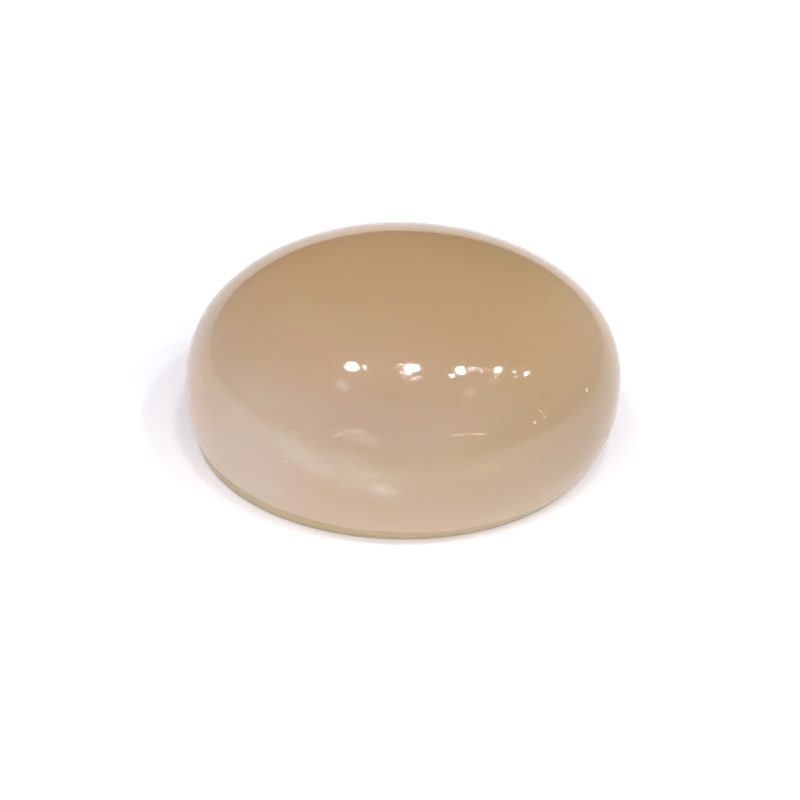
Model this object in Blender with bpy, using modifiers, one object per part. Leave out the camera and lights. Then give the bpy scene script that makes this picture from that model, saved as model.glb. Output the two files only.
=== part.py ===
"""Oval moonstone cabochon: one polished stone, 15 mm long, standing on its flat back.

Metres, +Z up. The origin is the middle of the flat back, +X runs along the stone's long axis, and the
dome rises along +Z.
"""

import math

import bpy
from mathutils import Matrix

MM = 0.001

# Driving dimensions
LENGTH = 15.0 * MM  # across the widest level, along X
WIDTH = 12.0 * MM  # across the widest level, along Y
DOME_HEIGHT = 4.9 * MM  # widest level up to the crown
BELLY_HEIGHT = 1.85 * MM  # widest level down to the ground edge
BEVEL_HEIGHT = 0.6 * MM  # ground edge down to the flat back
BELLY_INSET = 0.4 * MM  # how far the belly draws in at each end of the stone
BEVEL_INSET = 0.36 * MM  # how far the ground edge draws in below that
DOME_FULLNESS = 2.45  # 2 gives an elliptical section, more gives steeper flanks and fuller shoulders

# How finely the surface is divided
SEGMENTS = 64  # around the stone
DOME_RINGS = 14  # first ring below the crown to the widest level
BELLY_RINGS = 4  # widest level to the ground edge
CROWN_RING = 1.2 * MM  # radius of that first ring, wide enough that no faces crowd at the crown
RING_SPREAD = 1.6  # power that spaces the rings evenly along the curve of the dome
CORNER_ANGLE = math.radians(18)  # edges sharper than this stay crisp in the shading

# Finish
STONE_COLOUR = "C4A785"
STONE_ROUGHNESS = 0.12
STONE_IOR = 1.52


def linear_colour(hex_code):
    """An sRGB hex colour as linear red, green, blue and full alpha."""
    channels = [int(hex_code[i : i + 2], 16) / 255 for i in (0, 2, 4)]
    return [c / 12.92 if c <= 0.04045 else ((c + 0.055) / 1.055) ** 2.4 for c in channels] + [1.0]


def clear_scene():
    """Start from an empty scene."""
    for old in list(bpy.data.objects):
        bpy.data.objects.remove(old, do_unlink=True)


def half_section():
    """Radius and height of the stone's long section, from the crown down its outer side to the back."""
    half_length = LENGTH / 2
    widest_level = BEVEL_HEIGHT + BELLY_HEIGHT
    first_angle = math.acos(CROWN_RING / half_length)
    points = [(0.0, widest_level + DOME_HEIGHT)]
    for ring in range(DOME_RINGS):
        angle = first_angle * (1 - ring / DOME_RINGS) ** RING_SPREAD
        rise = DOME_HEIGHT * math.sin(angle) ** (2 / DOME_FULLNESS)
        points.append((half_length * math.cos(angle), widest_level + rise))
    for ring in range(BELLY_RINGS + 1):
        down = ring / BELLY_RINGS
        points.append((half_length - BELLY_INSET * down**2, widest_level - BELLY_HEIGHT * down))
    points.append((half_length - BELLY_INSET - BEVEL_INSET, 0.0))
    points.append((0.0, 0.0))
    return points


def turned_blank(name, section):
    """A round blank: the half section turned once about Z by a Screw modifier."""
    mesh = bpy.data.meshes.new(name)
    verts = [(radius, 0.0, height) for radius, height in section]
    edges = [(i, i + 1) for i in range(len(verts) - 1)]
    mesh.from_pydata(verts, edges, [])
    blank = bpy.data.objects.new(name, mesh)
    bpy.context.scene.collection.objects.link(blank)
    screw = blank.modifiers.new("turn", "SCREW")
    screw.axis = "Z"
    screw.angle = 2 * math.pi
    screw.steps = screw.render_steps = SEGMENTS
    screw.use_merge_vertices = True
    screw.merge_threshold = 0.0000001
    return blank


def oval_stone(name, blank, collection):
    """The round blank drawn in along Y to the stone's oval plan, as a mesh of its own."""
    turned = blank.evaluated_get(bpy.context.evaluated_depsgraph_get())
    mesh = bpy.data.meshes.new_from_object(turned)
    mesh.name = name
    bpy.data.objects.remove(blank, do_unlink=True)
    mesh.transform(Matrix.Diagonal((1.0, WIDTH / LENGTH, 1.0, 1.0)))
    mesh.shade_smooth()
    mesh.set_sharp_from_angle(angle=CORNER_ANGLE)
    stone = bpy.data.objects.new(name, mesh)
    collection.objects.link(stone)
    return stone


def polished_stone():
    """Translucent feldspar with a bright polish."""
    material = bpy.data.materials.new("polished_moonstone")
    material.use_nodes = True
    shader = material.node_tree.nodes["Principled BSDF"]
    shader.inputs["Base Color"].default_value = linear_colour(STONE_COLOUR)
    shader.inputs["Roughness"].default_value = STONE_ROUGHNESS
    shader.inputs["Metallic"].default_value = 0.0
    shader.inputs["IOR"].default_value = STONE_IOR
    return material


def build():
    """Model the stone in a collection of its own."""
    clear_scene()
    collection = bpy.data.collections.new("moonstone_cabochon")
    bpy.context.scene.collection.children.link(collection)
    blank = turned_blank("blank", half_section())
    stone = oval_stone("moonstone", blank, collection)
    stone.data.materials.append(polished_stone())


build()
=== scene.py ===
"""Looks for an oval moonstone cabochon: a 15 mm translucent tan stone, dome up, on a white card.

Metres, +Z up. The origin is the middle of the stone's flat back, and +X runs along its long axis. The camera
looks from -Y, a little from the left.
"""

import logging
import math
from dataclasses import dataclass, field
from enum import Enum

import bpy
from mathutils import Matrix, Vector


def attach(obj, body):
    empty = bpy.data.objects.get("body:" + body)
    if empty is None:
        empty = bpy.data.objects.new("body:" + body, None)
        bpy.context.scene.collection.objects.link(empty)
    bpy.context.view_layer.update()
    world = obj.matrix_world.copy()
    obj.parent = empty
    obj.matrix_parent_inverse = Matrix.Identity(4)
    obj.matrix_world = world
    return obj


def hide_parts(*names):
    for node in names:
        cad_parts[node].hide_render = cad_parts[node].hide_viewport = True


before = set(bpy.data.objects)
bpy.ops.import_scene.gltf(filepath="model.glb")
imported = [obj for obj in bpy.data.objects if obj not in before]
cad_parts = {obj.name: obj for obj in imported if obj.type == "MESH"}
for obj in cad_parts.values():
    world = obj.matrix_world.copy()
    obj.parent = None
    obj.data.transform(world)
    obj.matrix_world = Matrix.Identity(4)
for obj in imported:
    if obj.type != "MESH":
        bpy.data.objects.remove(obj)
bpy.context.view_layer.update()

MM = 0.001
ROOT_BODY = "root"
CAD_STONE = "moonstone"

Point = tuple[float, float, float]
Pair = tuple[float, float]
Links = dict[str | int, bpy.types.NodeSocket]

log = logging.getLogger("moonstone")


def linear(hex_code: str) -> tuple[float, float, float, float]:
    """Turn an sRGB hex colour to linear light.

    Args:
        hex_code: Six hex digits, red first.

    Returns:
        Linear red, green and blue, and full alpha.
    """
    channels = [int(hex_code[i : i + 2], 16) / 255 for i in (0, 2, 4)]
    red, green, blue = (c / 12.92 if c <= 0.04045 else ((c + 0.055) / 1.055) ** 2.4 for c in channels)
    return red, green, blue, 1.0


def toward(azimuth: float, elevation: float) -> Vector:
    """Work out the direction at an azimuth and elevation.

    Args:
        azimuth: Degrees from +X towards +Y.
        elevation: Degrees above the horizon.

    Returns:
        A vector one unit long.
    """
    around, up = math.radians(azimuth), math.radians(elevation)
    return Vector((math.cos(around) * math.cos(up), math.sin(around) * math.cos(up), math.sin(up)))


def standing(place: Vector, right: Vector, up: Vector, back: Vector) -> Matrix:
    """Work out the placing of a camera or lamp.

    Args:
        place: Where it stands.
        right: Its own X direction.
        up: Its own Y direction.
        back: Its own Z direction, away from what it faces.

    Returns:
        The matrix that stands it there.
    """
    return Matrix.Translation(place) @ Matrix((right, up, back)).transposed().to_4x4()


def select_only(piece: bpy.types.Object) -> None:
    """Deselect everything else and make this piece active.

    Args:
        piece: The object to work on.
    """
    bpy.ops.object.select_all(action="DESELECT")
    piece.select_set(True)
    bpy.context.view_layer.objects.active = piece


def add_node(
    tree: bpy.types.NodeTree,
    kind: str,
    links: Links | None = None,
    values: dict[str | int, object] | None = None,
    **settings: object,
) -> bpy.types.Node:
    """Add one node with its settings, socket values and incoming links.

    Args:
        tree: The node tree to add to.
        kind: Blender's name for the type of node.
        links: The output socket that feeds each input, by the input's name or number.
        values: The fixed value of each input, by its name or number.
        **settings: Properties of the node itself.

    Returns:
        The new node.
    """
    node = tree.nodes.new(kind)
    for name, value in settings.items():
        setattr(node, name, value)
    for key, value in (values or {}).items():
        node.inputs[key].default_value = value
    for key, source in (links or {}).items():
        tree.links.new(source, node.inputs[key])
    return node


class Fade(Enum):
    """How an egg-shaped patch thins from its middle to its rim."""

    EVEN = "LINEAR"
    SOFT = "SMOOTHSTEP"


@dataclass(frozen=True)
class SoftPatch:
    """An egg-shaped patch of the stone that thins towards its rim."""

    name: str
    centre: Point  # mm
    size: Point  # half lengths, mm

    def cover(
        self,
        tree: bpy.types.NodeTree,
        coords: bpy.types.NodeSocket,
        turn: Point,
        rim: float,
        strength: float,
        fade: Fade,
    ) -> bpy.types.NodeSocket:
        """Work out how strongly each point lies in the patch.

        Args:
            tree: The material's node tree.
            coords: Object coordinates, in metres.
            turn: Degrees about X, Y and Z.
            rim: Share of the radius over which the patch thins.
            strength: Amount in the middle.
            fade: How it thins.

        Returns:
            The amount, from zero outside the patch to its strength in the middle.
        """
        placed = add_node(
            tree,
            "ShaderNodeMapping",
            {"Vector": coords},
            {
                "Location": [c * MM for c in self.centre],
                "Rotation": [math.radians(t) for t in turn],
                "Scale": [s * MM for s in self.size],
            },
            vector_type="TEXTURE",
            label=self.name,
        )
        egg = add_node(
            tree,
            "ShaderNodeTexGradient",
            {"Vector": placed.outputs[0]},
            gradient_type="SPHERICAL",
        )
        return add_node(
            tree,
            "ShaderNodeMapRange",
            {"Value": egg.outputs["Fac"]},
            {"From Max": rim, "To Max": strength},
            interpolation_type=fade.value,
        ).outputs[0]


@dataclass(frozen=True)
class Veil(SoftPatch):
    """A patch of another colour where the stone meets the surface: inner colour, and in some patches painted
    shade, painted rim light and painted sheen.
    """

    colour: str
    strength: float
    turn: Point = (0.0, 0.0, 0.0)  # degrees about X, Y, Z
    rim: float = 1.0  # share of the radius over which the veil thins
    ragged: float = 0.0  # how far its outline wanders, mm
    streaked: bool = False
    fade: Fade = Fade.SOFT

    def lay(self, tree: bpy.types.NodeTree, sockets: dict[str, bpy.types.NodeSocket]) -> bpy.types.NodeSocket:
        """Mix the veil over the colour so far.

        Args:
            tree: The material's node tree.
            sockets: The outputs named coords, wander, streaks and colour.

        Returns:
            The colour with the veil in it.
        """
        coords = sockets["coords"]
        if self.ragged:
            reach = (2 * self.ragged * MM,) * 3  # the wander itself goes half a unit either way
            wandering = add_node(
                tree,
                "ShaderNodeVectorMath",
                {0: sockets["wander"], 2: coords},
                {1: reach},
                operation="MULTIPLY_ADD",
            )
            coords = wandering.outputs[0]
        amount = self.cover(tree, coords, self.turn, self.rim, self.strength, self.fade)
        if self.streaked:
            streaked = add_node(
                tree,
                "ShaderNodeMath",
                {0: amount, 1: sockets["streaks"]},
                operation="MULTIPLY",
            )
            amount = streaked.outputs[0]
        mixed = add_node(
            tree,
            "ShaderNodeMix",
            {"Factor": amount, "A": sockets["colour"]},
            {"B": linear(self.colour)},
            data_type="RGBA",
        )
        return mixed.outputs["Result"]


# Broad changes of body colour: honey on the upper dome, partly painted shade; painted rim light at the upper
# left and right; a paler lower left, partly painted floor light and painted sheen.
BODY_VEILS = (
    # Darker honey over the upper dome: partly the stone's own tone, partly painted shade where the top gets
    # less light.
    Veil("honey_crown_painted_shade", (-2.8, -5.9, 6.1), (8.4, 13.1, 3.0), "896750", 1.0),
    # Painted rim light: the upper left rim made paler where it catches light.
    Veil("pale_upper_left_painted_rim_light", (-5.3, 2.9, 2.5), (8.0, 8.0, 4.5), "E7CFC8", 1.0),
    Veil("golden_right", (1.9, 3.0, 6.1), (13.5, 9.8, 3.3), "EEC290", 1.0),
    # Painted light from the floor below, paler at the front lower left.
    Veil("front_cream_painted_floor_light", (-6.5, -4.9, 3.7), (4.1, 3.7, 6.3), "C7B8B3", 1.0),
    # Painted light from the floor below and a painted sheen, paler and milkier at the lower left.
    Veil("milky_left_painted_sheen", (-7.7, -5.3, 8.8), (13.9, 6.7, 5.8), "EFDACB", 1.0),
    Veil("dusky_right", (1.8, 0.6, 3.8), (12.2, 9.9, 7.1), "8D7850", 1.0),
    # Painted rim light: the right rim made paler where it catches light.
    Veil("pale_right_painted_rim_light", (5.4, 3.3, 3.4), (8.0, 7.3, 4.3), "E6CEBE", 1.0),
)

# Milky clouds and wisps along the front, a healed crack, a few specks, and a painted shade line in the crease
# above the ground edge.
INNER_VEILS = (
    Veil("cloud", (-2.6, -5.6, 3.3), (3.0, 1.7, 1.1), "C8C2BC", 0.5, (0, 17, -16), 1.0, 0.5, True),
    Veil(
        "cloud_core",
        (-1.35, -5.88, 2.8),
        (0.6, 0.5, 0.24),
        "D5D2CE",
        0.5,
        turn=(0, 20, -14),
        ragged=0.2,
        streaked=True,
        fade=Fade.EVEN,
    ),
    Veil("cloud_head", (-4.2, -4.9, 3.6), (1.3, 0.9, 0.6), "C7C2BC", 0.45, (0, 30, -30), 1.0, 0.3, True),
    Veil("wisp", (-2.1, -5.25, 4.56), (1.3, 0.7, 0.34), "CBBFB2", 0.22, (0, 3, -14), 0.8, 0.18),
    Veil("wisp_left", (-2.78, -5.1, 4.56), (0.42, 0.4, 0.07), "D5C4B0", 0.32, (0, -30, -14), 0.9, 0.05),
    Veil("wisp_crest", (-2.2, -5.22, 4.75), (0.46, 0.4, 0.09), "D5C7B6", 0.24, (0, -4, -14), 0.9, 0.06),
    Veil("low_wisp", (-2.6, -5.4, 4.0), (0.9, 0.4, 0.06), "B8A08B", 0.35, (0, 6, -16), 0.9, 0.1),
    Veil("right_wisp", (1.86, -5.76, 3.4), (1.2, 0.7, 0.36), "CCB99F", 0.24, (0, -4, 12), 1.0, 0.2, True),
    Veil("healed_crack", (1.17, -5.47, 4.72), (0.5, 0.4, 0.05), "D5C1A1", 0.5, (0, 2, 8.7), 0.8, 0.05),
    Veil("crack_end", (1.82, -5.38, 4.67), (0.42, 0.3, 0.045), "DECAAC", 0.65, (0, 6, 14), 0.8, 0.05),
    Veil("pale_blob", (-2.63, -4.15, 5.87), (0.42, 0.4, 0.34), "CFC3BA", 0.45, ragged=0.2),
    Veil("thin_wisp", (1.5, -4.5, 5.78), (0.4, 0.3, 0.22), "CCBAA1", 0.3, (0, -20, 12), 0.9, 0.14),
    Veil("brown_spot", (4.2, -3.95, 5.2), (0.5, 0.45, 0.4), "9D855A", 0.2, ragged=0.1),
    Veil("speck_a", (4.0, -4.42, 4.85), (0.2, 0.12, 0.05), "D8C3A3", 0.5, (0, 40, 0), 0.8, 0.08),
    Veil("speck_b", (4.16, -4.46, 4.65), (0.17, 0.12, 0.05), "D8C3A3", 0.45, (0, 50, 0), 0.8, 0.08),
    Veil("speck_c", (3.81, -4.69, 4.58), (0.07, 0.08, 0.1), "E4D2B4", 0.8, rim=0.7),
    Veil("speck_d", (-4.47, -4.79, 3.11), (0.14, 0.14, 0.12), "DACEC4", 0.3, rim=0.9),
    Veil("speck_e", (5.77, -3.11, 4.64), (0.07, 0.08, 0.14), "E6D3BA", 0.9, rim=0.6),
    # Painted shade: a dark line in the crease above the ground edge.
    Veil("painted_crease_shade", (0.0, 0.0, 0.57), (60, 60, 0.09), "89775A", 0.7, ragged=0.03, streaked=True),
)


@dataclass(frozen=True)
class Mark(SoftPatch):
    """A small area where the last polishing strokes still show as fine ripples along the stone."""

    rim: float = 0.5  # share of the radius over which the ripples rise

    def lay(
        self,
        tree: bpy.types.NodeTree,
        coords: bpy.types.NodeSocket,
        depth: bpy.types.NodeSocket,
    ) -> bpy.types.NodeSocket:
        """Let the ripples rise to their full depth in this area.

        Args:
            tree: The material's node tree.
            coords: Object coordinates, in metres.
            depth: The depth of the ripples so far, as a share of the deepest.

        Returns:
            The depth with this area in it.
        """
        area = self.cover(tree, coords, (0.0, 0.0, 0.0), self.rim, 1.0, Fade.SOFT)
        return add_node(tree, "ShaderNodeMath", {0: depth, 1: area}, operation="MAXIMUM").outputs[0]


# Where the strokes show: beside and below the reflected lamps.
POLISH_MARKS = (
    Mark("first_tick", (-1.72, -3.76, 6.33), (0.27, 0.28, 0.28)),
    Mark("second_left", (-0.86, -3.92, 6.32), (0.3, 0.34, 0.34)),
    Mark("second_below", (-0.7, -4.26, 6.12), (0.5, 0.4, 0.36)),
    Mark("second_streak", (-0.12, -4.24, 6.13), (0.5, 0.12, 0.12)),
    Mark("second_right", (0.62, -4.17, 6.18), (0.5, 0.16, 0.16)),
    Mark("third_right", (1.68, -3.86, 6.26), (0.3, 0.2, 0.2)),
    Mark("fourth_left", (2.18, -3.87, 6.12), (0.24, 0.2, 0.2)),
    Mark("fourth_below", (2.42, -4.1, 5.93), (0.4, 0.22, 0.2)),
)


@dataclass(frozen=True)
class Moonstone:
    """Moonstone, an alkali feldspar, as a lapidary cuts it.

    Light goes a few millimetres into it and scatters on its fine inner layers before it comes out. The eye
    sees a soft milky glow from inside, warm thin edges, and no hard surface colour.
    """

    name: str
    roughness: float
    roughness_spread: float
    bump_size: Point  # mm, along X, Y and Z
    bump_depth: float  # mm
    patch_width: float  # mm, of the areas where the bumps come and go
    plain_share: float  # depth of the bumps outside the marks, as a share of the deepest
    faint_share: float = 0.25  # of that depth, where the bumps are faintest
    marks: tuple[Mark, ...] = ()
    tones: tuple[str, str] = ("F6FFF0", "FFF4F4")  # the colour drifts between a greener and a rosier cast
    base: str = "BFA994"
    rosy: str = "C3AD9B"
    ior: float = 1.52
    scatter_length: float = 2.2  # mm, for red light
    scatter_shares: Point = (1.0, 0.72, 0.5)  # red light goes deepest, so thin edges look warm
    drift_width: float = 1.6  # mm, of the soft mottling
    drift_roughness: float = 0.65
    wander_width: float = 0.8  # mm, of the bends in a veil's outline
    # The real inner layers are far thinner than a hair, so they are drawn as coarse as they need to show.
    layer_width: float = 0.32  # mm
    layer_turn: Point = (0.0, 18.0, -16.0)  # degrees: the layers dip to the right
    layer_stretch: Point = (3.4, 2.2, 1.0)  # the layers are drawn out along the stone
    layer_band: Pair = (0.3, 0.65)  # noise from which a streak starts and at which it is full
    layer_gap: float = 0.35  # what is left of a veil between two streaks
    patch_band: Pair = (0.42, 0.62)  # noise from which the bumps rise and at which they are full
    detail: float = 3.0  # of the noise that colours the stone
    grain_detail: float = 2.0  # of the noise that makes the bumps
    patch_detail: float = 1.0  # of the noise that says where the bumps come and go

    def body_colour(self, tree: bpy.types.NodeTree, coords: bpy.types.NodeSocket) -> bpy.types.NodeSocket:
        """Lay the body colour, everything that shows inside the stone, and the painted shade, rim light and
        sheen.

        Args:
            tree: The material's node tree.
            coords: Object coordinates, in metres.

        Returns:
            The finished colour.
        """
        drift = add_node(
            tree,
            "ShaderNodeTexNoise",
            {"Vector": coords},
            {"Scale": 1 / (self.drift_width * MM), "Detail": self.detail, "Roughness": self.drift_roughness},
        ).outputs["Fac"]
        tint = add_node(
            tree,
            "ShaderNodeMix",
            {"Factor": drift},
            {"A": linear(self.base), "B": linear(self.rosy)},
            data_type="RGBA",
        )
        wander = add_node(
            tree,
            "ShaderNodeTexNoise",
            {"Vector": coords},
            {"Scale": 1 / (self.wander_width * MM), "Detail": self.detail},
        )
        centred = add_node(
            tree,
            "ShaderNodeVectorMath",
            {0: wander.outputs["Color"]},
            {1: (0.5, 0.5, 0.5)},
            operation="SUBTRACT",
        )
        layers = add_node(
            tree,
            "ShaderNodeMapping",
            {"Vector": coords},
            {"Rotation": [math.radians(t) for t in self.layer_turn], "Scale": self.layer_stretch},
            vector_type="TEXTURE",
        )
        streaks = add_node(
            tree,
            "ShaderNodeTexNoise",
            {"Vector": layers.outputs[0]},
            {"Scale": 1 / (self.layer_width * MM), "Detail": self.detail},
        )
        breaks = add_node(
            tree,
            "ShaderNodeMapRange",
            {"Value": streaks.outputs["Fac"]},
            {"From Min": self.layer_band[0], "From Max": self.layer_band[1], "To Min": self.layer_gap},
        )
        sockets = {
            "coords": coords,
            "wander": centred.outputs[0],
            "streaks": breaks.outputs[0],
            "colour": tint.outputs["Result"],
        }
        for veil in (*BODY_VEILS, *INNER_VEILS):
            sockets["colour"] = veil.lay(tree, sockets)
        cast = add_node(
            tree,
            "ShaderNodeMix",
            {"Factor": drift},
            {"A": linear(self.tones[0]), "B": linear(self.tones[1])},
            data_type="RGBA",
        )
        toned = add_node(
            tree,
            "ShaderNodeMix",
            {"A": sockets["colour"], "B": cast.outputs["Result"]},
            {"Factor": 1.0},
            data_type="RGBA",
            blend_type="MULTIPLY",
        )
        return toned.outputs["Result"]

    def bump_share(self, tree: bpy.types.NodeTree, coords: bpy.types.NodeSocket) -> bpy.types.NodeSocket:
        """Work out how deep the bumps are at each point.

        Args:
            tree: The material's node tree.
            coords: Object coordinates, in metres.

        Returns:
            The depth, as a share of the deepest.
        """
        patches = add_node(
            tree,
            "ShaderNodeTexNoise",
            {"Vector": coords},
            {"Scale": 1 / (self.patch_width * MM), "Detail": self.patch_detail},
        )
        share = add_node(
            tree,
            "ShaderNodeMapRange",
            {"Value": patches.outputs["Fac"]},
            {
                "From Min": self.patch_band[0],
                "From Max": self.patch_band[1],
                "To Min": self.plain_share * self.faint_share,
                "To Max": self.plain_share,
            },
        ).outputs[0]
        for mark in self.marks:
            share = mark.lay(tree, coords, share)
        return share

    def make(self) -> bpy.types.Material:
        """Build the material.

        Returns:
            The finished material.
        """
        material = bpy.data.materials.new(self.name)
        material.use_nodes = True
        tree = material.node_tree
        shader = tree.nodes["Principled BSDF"]
        shader.subsurface_method = "RANDOM_WALK"
        shader.inputs["IOR"].default_value = self.ior
        shader.inputs["Subsurface Weight"].default_value = 1.0
        shader.inputs["Subsurface Radius"].default_value = self.scatter_shares
        shader.inputs["Subsurface Scale"].default_value = self.scatter_length * MM
        coords = add_node(tree, "ShaderNodeTexCoord").outputs["Object"]
        tree.links.new(self.body_colour(tree, coords), shader.inputs["Base Color"])
        stretched = add_node(
            tree,
            "ShaderNodeMapping",
            {"Vector": coords},
            {"Scale": [size * MM for size in self.bump_size]},
            vector_type="TEXTURE",
        )
        grain = add_node(
            tree,
            "ShaderNodeTexNoise",
            {"Vector": stretched.outputs[0]},
            {"Scale": 1.0, "Detail": self.grain_detail},
        ).outputs["Fac"]
        height = add_node(
            tree,
            "ShaderNodeMath",
            {0: grain, 1: self.bump_share(tree, coords)},
            operation="MULTIPLY",
        )
        bump = add_node(
            tree,
            "ShaderNodeBump",
            {"Height": height.outputs[0]},
            {"Strength": 1.0, "Distance": self.bump_depth * MM},
        )
        tree.links.new(bump.outputs[0], shader.inputs["Normal"])
        gloss = add_node(
            tree,
            "ShaderNodeMapRange",
            {"Value": grain},
            {
                "To Min": self.roughness - self.roughness_spread,
                "To Max": self.roughness + self.roughness_spread,
            },
        )
        tree.links.new(gloss.outputs[0], shader.inputs["Roughness"])
        return material


@dataclass(frozen=True)
class PolishedMoonstone(Moonstone):
    """The dome and belly, polished with fine oxide on a felt wheel.

    The eye sees a glassy skin with small sharp highlights, and faint ripples where the last strokes ended.
    Real strokes lie a few thousandths of a millimetre apart, so they are drawn 0.06 mm apart to show at all.
    """

    name: str = "moonstone_polished_dome"
    roughness: float = 0.06
    roughness_spread: float = 0.02
    bump_size: Point = (0.32, 0.06, 0.06)
    bump_depth: float = 0.013
    patch_width: float = 1.1
    plain_share: float = 0.045
    marks: tuple[Mark, ...] = POLISH_MARKS


@dataclass(frozen=True)
class GroundMoonstone(Moonstone):
    """The flat back and the ground edge, left as they came off a fine diamond lap.

    The eye sees the same stone with a satin skin, a little yellower and without mirror reflections. Real pits
    are about 0.02 mm across, so they are drawn 0.09 mm across to show at all.
    """

    name: str = "moonstone_ground_back"
    roughness: float = 0.36
    roughness_spread: float = 0.08
    bump_size: Point = (0.09, 0.09, 0.09)
    bump_depth: float = 0.004
    patch_width: float = 0.6
    plain_share: float = 1.0
    tones: tuple[str, str] = ("EBF4C6", "F8EED3")


class Area(Enum):
    """A part of the stone's surface that is uneven in its own way."""

    DOME = "dome"
    GROUND_EDGE = "ground_edge"


@dataclass(frozen=True)
class Wave:
    """One kind of unevenness left by hand work. Sizes in metres."""

    area: Area
    width: float
    depth: float


@dataclass
class Cabochon:
    """The stone: a round blank drawn up ring by ring, then drawn in to an oval. Sizes in metres."""

    length: float = 15.0 * MM
    width: float = 12.0 * MM
    dome_height: float = 4.9 * MM
    belly_height: float = 1.85 * MM
    bevel_height: float = 0.6 * MM
    belly_inset: float = 0.4 * MM
    bevel_inset: float = 0.36 * MM
    dome_fullness: float = 2.45  # 2 gives an elliptical section, more gives steeper flanks
    segments: int = 192
    dome_rings: int = 48
    belly_rings: int = 10
    crown_ring: float = 0.35 * MM  # radius of the last ring below the crown
    ring_spread: float = 1.5  # power that spaces the rings along the curve of the dome
    back_rings: tuple[float, ...] = (6.2 * MM, 4.9 * MM, 3.4 * MM, 1.8 * MM)
    edge_softness: float = 0.05 * MM
    edge_segments: int = 2
    back_shift: Pair = (-0.12 * MM, 0.06 * MM)  # of the back's rim, in the round blank
    back_stretch: float = 1.015  # of the back's rim along the stone
    back_flat: float = 0.02 * MM  # the back stays flat up to this height
    edge_reach: float = 0.2 * MM  # how far above the ground edge its unevenness still tells
    edge_fall: float = 0.8  # how much weaker that unevenness gets down to the back
    dome_fade: float = 1.0 * MM  # height over which the waves of the dome set in
    waves: tuple[Wave, ...] = (
        Wave(Area.DOME, 2.6 * MM, 0.022 * MM),
        Wave(Area.DOME, 0.9 * MM, 0.003 * MM),
        Wave(Area.GROUND_EDGE, 0.5 * MM, 0.09 * MM),
    )
    crisp_angle: float = 30.0  # degrees: edges sharper than this stay crisp in the shading
    tolerance: float = 0.001 * MM
    polish: Moonstone = field(default_factory=PolishedMoonstone)
    ground: Moonstone = field(default_factory=GroundMoonstone)

    @property
    def widest_level(self) -> float:
        """Height of the widest level above the floor."""
        return self.bevel_height + self.belly_height

    @property
    def crown_level(self) -> float:
        """Height of the crown above the floor."""
        return self.widest_level + self.dome_height

    def section(self) -> list[Pair]:
        """Work out the stone's long section.

        Returns:
            Radius and height of each ring, from the flat back's rim up to the last ring below the crown.
        """
        half = self.length / 2
        rings = [(half - self.belly_inset - self.bevel_inset, 0.0)]
        for step in range(self.belly_rings, 0, -1):
            down = step / self.belly_rings
            radius = half - self.belly_inset * down**2
            rings.append((radius, self.widest_level - self.belly_height * down))
        first_angle = math.acos(self.crown_ring / half)
        for ring in range(self.dome_rings, -1, -1):
            angle = first_angle * (1 - ring / self.dome_rings) ** self.ring_spread
            rise = self.dome_height * math.sin(angle) ** (2 / self.dome_fullness)
            rings.append((half * math.cos(angle), self.widest_level + rise))
        return rings

    def draw_rings(self, rings: list[Pair]) -> None:
        """Extrude the selected ring through the levels that follow it.

        Args:
            rings: Radius and height of the selected ring first, then of each ring to come.
        """
        for (radius, height), (next_radius, next_height) in zip(rings, rings[1:]):
            bpy.ops.mesh.extrude_region_move(TRANSFORM_OT_translate={"value": (0, 0, next_height - height)})
            share = next_radius / radius
            bpy.ops.transform.resize(value=(share, share, 1), center_override=(0, 0, next_height))

    def close_ring(self, rise: float) -> None:
        """Close the selected ring on the axis.

        Args:
            rise: How far above the ring its closing point lies.
        """
        bpy.ops.mesh.extrude_region_move(TRANSFORM_OT_translate={"value": (0, 0, rise)})
        bpy.ops.mesh.merge(type="CENTER")

    def select_rings(self, mesh: bpy.types.Mesh, *levels: float) -> None:
        """Select the outer rings of edges at some heights.

        Args:
            mesh: The round blank's mesh, in object mode.
            *levels: Heights of the rings above the floor.
        """
        near = self.tolerance
        for face in mesh.polygons:
            face.select = False
        for vert in mesh.vertices:
            outside = math.hypot(vert.co.x, vert.co.y) > self.back_rings[0] + near
            vert.select = outside and any(abs(vert.co.z - level) < near for level in levels)
        for edge in mesh.edges:
            ends = [mesh.vertices[v] for v in edge.vertices]
            edge.select = all(end.select for end in ends) and abs(ends[0].co.z - ends[1].co.z) < near

    def loft(self) -> bpy.types.Object:
        """Draw the closed round blank up from a circle.

        Returns:
            The round blank.
        """
        rings = self.section()
        bpy.ops.object.select_all(action="DESELECT")
        bpy.ops.mesh.primitive_circle_add(vertices=self.segments, radius=rings[0][0], location=(0, 0, 0))
        stone = bpy.context.object
        stone.name = stone.data.name = "moonstone_cabochon"
        bpy.ops.object.mode_set(mode="EDIT")
        bpy.ops.mesh.select_all(action="SELECT")
        self.draw_rings(rings)
        self.close_ring(self.crown_level - rings[-1][1])
        bpy.ops.object.mode_set(mode="OBJECT")
        self.select_rings(stone.data, 0.0)
        bpy.ops.object.mode_set(mode="EDIT")
        self.draw_rings([(rings[0][0], 0.0), *((radius, 0.0) for radius in self.back_rings)])
        self.close_ring(0.0)
        bpy.ops.object.mode_set(mode="OBJECT")
        return stone

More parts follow.
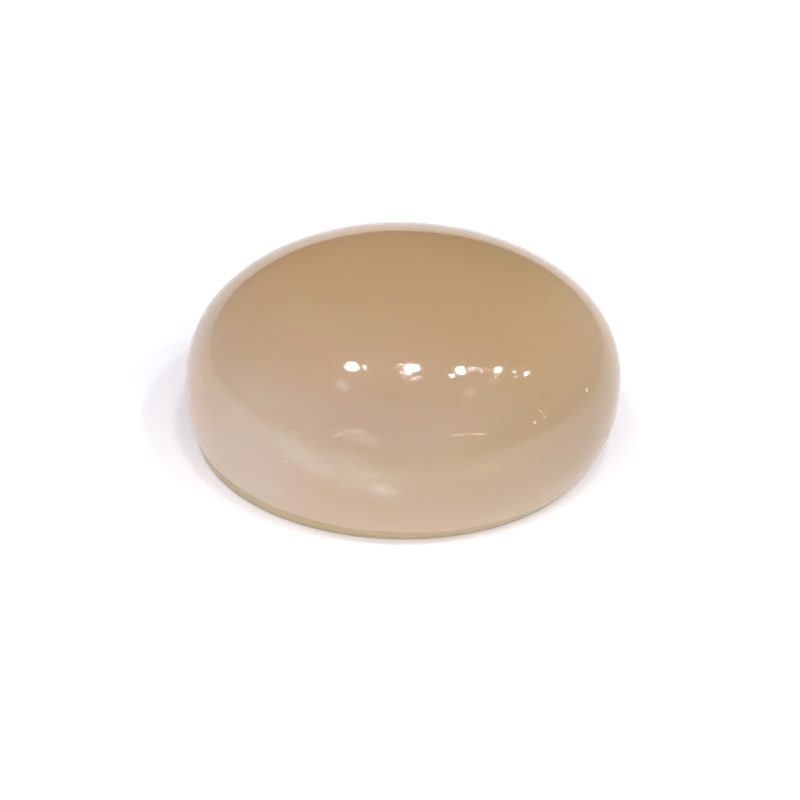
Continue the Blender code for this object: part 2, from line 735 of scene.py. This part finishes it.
    def draw_in(self, stone: bpy.types.Object) -> None:
        """Make the ground edge steeper at one end, break the two sharp edges, and draw the blank to an oval.

        Args:
            stone: The round blank.
        """
        self.select_rings(stone.data, 0.0)
        bpy.ops.object.mode_set(mode="EDIT")
        bpy.ops.transform.translate(value=(*self.back_shift, 0))
        bpy.ops.transform.resize(value=(self.back_stretch, 1, 1), center_override=(0, 0, 0))
        bpy.ops.object.mode_set(mode="OBJECT")
        self.select_rings(stone.data, 0.0, self.bevel_height)
        bpy.ops.object.mode_set(mode="EDIT")
        bpy.ops.mesh.select_mode(type="EDGE")
        bpy.ops.mesh.bevel(offset=self.edge_softness, segments=self.edge_segments, affect="EDGES")
        bpy.ops.mesh.select_all(action="SELECT")
        bpy.ops.transform.resize(value=(1, self.width / self.length, 1), center_override=(0, 0, 0))
        bpy.ops.mesh.remove_doubles(threshold=self.tolerance / 10)
        bpy.ops.mesh.normals_make_consistent(inside=False)
        bpy.ops.object.mode_set(mode="OBJECT")

    def mark_areas(self, stone: bpy.types.Object) -> None:
        """Weigh how strongly each point of the dome and of the ground edge is uneven.

        Args:
            stone: The oval stone.
        """
        edge = stone.vertex_groups.new(name=Area.GROUND_EDGE.value)
        dome = stone.vertex_groups.new(name=Area.DOME.value)
        fade_top = self.bevel_height + self.edge_reach
        for vert in stone.data.vertices:
            height = vert.co.z
            if self.back_flat < height < fade_top:
                away = abs(height - self.bevel_height) / self.bevel_height
                edge.add([vert.index], 1 - away * self.edge_fall, "REPLACE")
            if height > fade_top:
                dome.add([vert.index], min(1.0, (height - fade_top) / self.dome_fade), "REPLACE")

    def wear(self, stone: bpy.types.Object) -> None:
        """Give the surface the slight waviness of hand polishing, and the ground edge its unevenness.

        Args:
            stone: The oval stone.
        """
        self.mark_areas(stone)
        for number, wave in enumerate(self.waves):
            texture = bpy.data.textures.new(f"{wave.area.value}_waves_{number}", "CLOUDS")
            texture.noise_scale = wave.width
            modifier = stone.modifiers.new(texture.name, "DISPLACE")
            modifier.texture = texture
            modifier.texture_coords = "LOCAL"
            modifier.vertex_group = wave.area.value
            modifier.strength = wave.depth
            modifier.mid_level = 0.5
            select_only(stone)
            bpy.ops.object.modifier_apply(modifier=modifier.name)

    def dress(self, stone: bpy.types.Object) -> None:
        """Give the dome its polish and the back and edge their ground finish.

        Args:
            stone: The finished mesh.
        """
        stone.data.materials.append(self.polish.make())
        stone.data.materials.append(self.ground.make())
        for face in stone.data.polygons:
            face.material_index = int(face.center.z < self.bevel_height)

    def build(self) -> bpy.types.Object:
        """Model the stone, dress it and hand it to the frame.

        Returns:
            The finished piece.
        """
        stone = self.loft()
        self.draw_in(stone)
        self.wear(stone)
        select_only(stone)
        bpy.ops.object.shade_smooth_by_angle(angle=math.radians(self.crisp_angle))
        self.dress(stone)
        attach(stone, ROOT_BODY)
        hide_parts(CAD_STONE)
        return stone


class Axis(Enum):
    """A direction across the card."""

    ALONG = "X"
    DEEP = "Y"


@dataclass(frozen=True)
class Margin:
    """A soft margin of the card, which starts at one place and is complete at the other, in metres."""

    axis: Axis
    outer: float
    inner: float


@dataclass(frozen=True)
class MattCard:
    """Uncoated white card, as the paper mill rolls it.

    The eye sees an even matt white without any sheen, whose margins melt into the white background.
    """

    name: str = "matt_white_card"
    colour: str = "F1F1F6"
    roughness: float = 0.9
    sheen: float = 0.0
    light: float = 0.12  # light that comes through the thin card from below
    light_colour: str = "F2EAF6"
    margins: tuple[Margin, ...] = (
        Margin(Axis.DEEP, -38 * MM, -9 * MM),
        Margin(Axis.ALONG, -200 * MM, -60 * MM),
        Margin(Axis.ALONG, 70 * MM, 14 * MM),
    )

    def make(self) -> bpy.types.Material:
        """Build the material.

        Returns:
            The finished material.
        """
        material = bpy.data.materials.new(self.name)
        material.use_nodes = True
        tree = material.node_tree
        shader = tree.nodes["Principled BSDF"]
        shader.inputs["Base Color"].default_value = linear(self.colour)
        shader.inputs["Roughness"].default_value = self.roughness
        shader.inputs["Specular IOR Level"].default_value = self.sheen
        shader.inputs["Emission Color"].default_value = linear(self.light_colour)
        shader.inputs["Emission Strength"].default_value = self.light
        coords = add_node(tree, "ShaderNodeTexCoord").outputs["Object"]
        place = add_node(tree, "ShaderNodeSeparateXYZ", {"Vector": coords}).outputs
        cover = add_node(tree, "ShaderNodeValue").outputs[0]
        cover.default_value = 1.0
        for margin in self.margins:
            share = add_node(
                tree,
                "ShaderNodeMapRange",
                {"Value": place[margin.axis.value]},
                {"From Min": margin.outer, "From Max": margin.inner},
                interpolation_type="SMOOTHSTEP",
            )
            both = add_node(tree, "ShaderNodeMath", {0: cover, 1: share.outputs[0]}, operation="MULTIPLY")
            cover = both.outputs[0]
        tree.links.new(cover, shader.inputs["Alpha"])
        return material


@dataclass(frozen=True)
class Lamp:
    """One small oval ceiling lamp. Its place is a share of the ceiling's height."""

    across: float
    back: float
    width: float  # m
    depth: float  # m
    power: float  # W


@dataclass(frozen=True)
class Glow:
    """Soft light from one side, brightest in the middle. Angles in degrees."""

    azimuth: float
    elevation: float
    spread: float  # from its middle to its rim
    strength: float


@dataclass
class Studio:
    """White card, a row of ceiling lamps, soft light from all sides, and the camera. Sizes in metres."""

    card_left: float = -200 * MM
    card_right: float = 80 * MM
    card_front: float = -38 * MM
    card_back: float = 200 * MM
    card_level: float = -0.01 * MM  # a hair below the stone, so that the two faces never share a plane
    card_finish: MattCard = field(default_factory=MattCard)
    ceiling: float = 350 * MM
    lamps: tuple[Lamp, ...] = (
        Lamp(-0.292, -0.184, 32 * MM, 40 * MM, 0.17),
        Lamp(0.06, -0.21, 28 * MM, 33 * MM, 0.15),
        Lamp(0.374, -0.242, 16 * MM, 32 * MM, 0.165),
        Lamp(0.651, -0.201, 13 * MM, 24 * MM, 0.13),
        Lamp(0.82, -0.205, 6 * MM, 9 * MM, 0.009),
        Lamp(0.885, -0.285, 5 * MM, 7 * MM, 0.006),
        Lamp(1.035, -0.212, 16 * MM, 26 * MM, 0.08),
    )
    glows: tuple[Glow, ...] = (
        Glow(-90, 44, 60, 1.38),
        Glow(-100, 14, 50, 0.95),
        Glow(150, 24, 50, 0.45),
        Glow(20, 15, 46, 0.45),
    )
    fill: float = 0.15  # even light from all round
    backdrop: float = 1.0  # brightness of the white background
    camera_azimuth: float = -8.922  # degrees round from straight in front, below zero to the left
    camera_elevation: float = 39.871
    camera_roll: float = -5.0
    camera_distance: float = 150 * MM
    camera_aside: Pair = (0.051 * MM, 1.277 * MM)
    camera_range: Pair = (5 * MM, 2.0)  # nearest and farthest that it sees
    lens: float = 194.1  # mm
    sensor: float = 36.0  # mm

    def lay_card(self) -> None:
        """Lay the white card under the stone."""
        bpy.ops.object.select_all(action="DESELECT")
        bpy.ops.mesh.primitive_plane_add(size=1.0, location=(0, 0, 0))
        card = bpy.context.object
        card.name = "white_card"
        for vert in card.data.vertices:
            vert.co.x = self.card_left if vert.co.x < 0 else self.card_right
            vert.co.y = self.card_front if vert.co.y < 0 else self.card_back
            vert.co.z = self.card_level
        card.data.materials.append(self.card_finish.make())

    def hang_lamps(self) -> None:
        """Hang the row of small oval lamps that shows as a row of highlights."""
        for number, lamp in enumerate(self.lamps):
            data = bpy.data.lights.new(f"ceiling_lamp_{number}", "AREA")
            data.shape = "ELLIPSE"
            data.size, data.size_y = lamp.width, lamp.depth
            data.energy = lamp.power
            holder = bpy.data.objects.new(data.name, data)
            bpy.context.scene.collection.objects.link(holder)
            place = Vector((lamp.across, lamp.back, 1.0)) * self.ceiling
            away = place.normalized()
            deep = away.cross(Vector((1.0, 0.0, 0.0))).normalized()
            holder.matrix_world = standing(place, deep.cross(away), deep, away)

    def surround(self) -> None:
        """Light the stone softly from all sides, most from the front, before a white background."""
        world = bpy.data.worlds.new("soft_surround")
        bpy.context.scene.world = world
        world.use_nodes = True
        tree = world.node_tree
        coords = add_node(tree, "ShaderNodeTexCoord").outputs["Generated"]
        total = add_node(tree, "ShaderNodeValue").outputs[0]
        total.default_value = self.fill
        for glow in self.glows:
            facing = add_node(
                tree,
                "ShaderNodeVectorMath",
                {0: coords},
                {1: toward(glow.azimuth, glow.elevation)},
                operation="DOT_PRODUCT",
            )
            light = add_node(
                tree,
                "ShaderNodeMapRange",
                {"Value": facing.outputs["Value"]},
                {"From Min": math.cos(math.radians(glow.spread)), "To Max": glow.strength},
                interpolation_type="SMOOTHSTEP",
            )
            total = add_node(tree, "ShaderNodeMath", {0: total, 1: light.outputs[0]}).outputs[0]
        seen = add_node(tree, "ShaderNodeLightPath").outputs["Is Camera Ray"]
        strength = add_node(tree, "ShaderNodeMix", {"Factor": seen, "A": total}, {"B": self.backdrop})
        background = tree.nodes["Background"]
        background.inputs["Color"].default_value = (1.0, 1.0, 1.0, 1.0)
        tree.links.new(strength.outputs["Result"], background.inputs["Strength"])

    def place_camera(self) -> None:
        """Stand the camera in front of the stone, a little to the left, looking down on it."""
        data = bpy.data.cameras.new("camera")
        camera = bpy.data.objects.new("camera", data)
        bpy.context.scene.collection.objects.link(camera)
        data.sensor_width = self.sensor
        data.lens = self.lens
        data.clip_start, data.clip_end = self.camera_range
        back = toward(self.camera_azimuth - 90, self.camera_elevation)
        level = Vector((-back.y, back.x, 0.0)).normalized()
        lift = back.cross(level)
        roll = math.radians(self.camera_roll)
        right = math.cos(roll) * level - math.sin(roll) * lift
        up = math.sin(roll) * level + math.cos(roll) * lift
        place = back * self.camera_distance + right * self.camera_aside[0] + up * self.camera_aside[1]
        camera.matrix_world = standing(place, right, up, back)
        bpy.context.scene.camera = camera

    def build(self) -> None:
        """Set up the card, the lights and the camera."""
        self.lay_card()
        self.hang_lamps()
        self.surround()
        self.place_camera()
        bpy.context.scene.view_settings.view_transform = "Standard"


def main() -> None:
    """Build the stone and the studio, and report each piece."""
    logging.basicConfig(level=logging.INFO, format="%(name)s: %(message)s")
    stone = Cabochon().build()
    log.info("%s: %d faces", stone.name, len(stone.data.polygons))
    studio = Studio()
    studio.build()
    log.info("studio: card, %d lamps, soft surround and camera", len(studio.lamps))


if __name__ == "__main__":
    main()
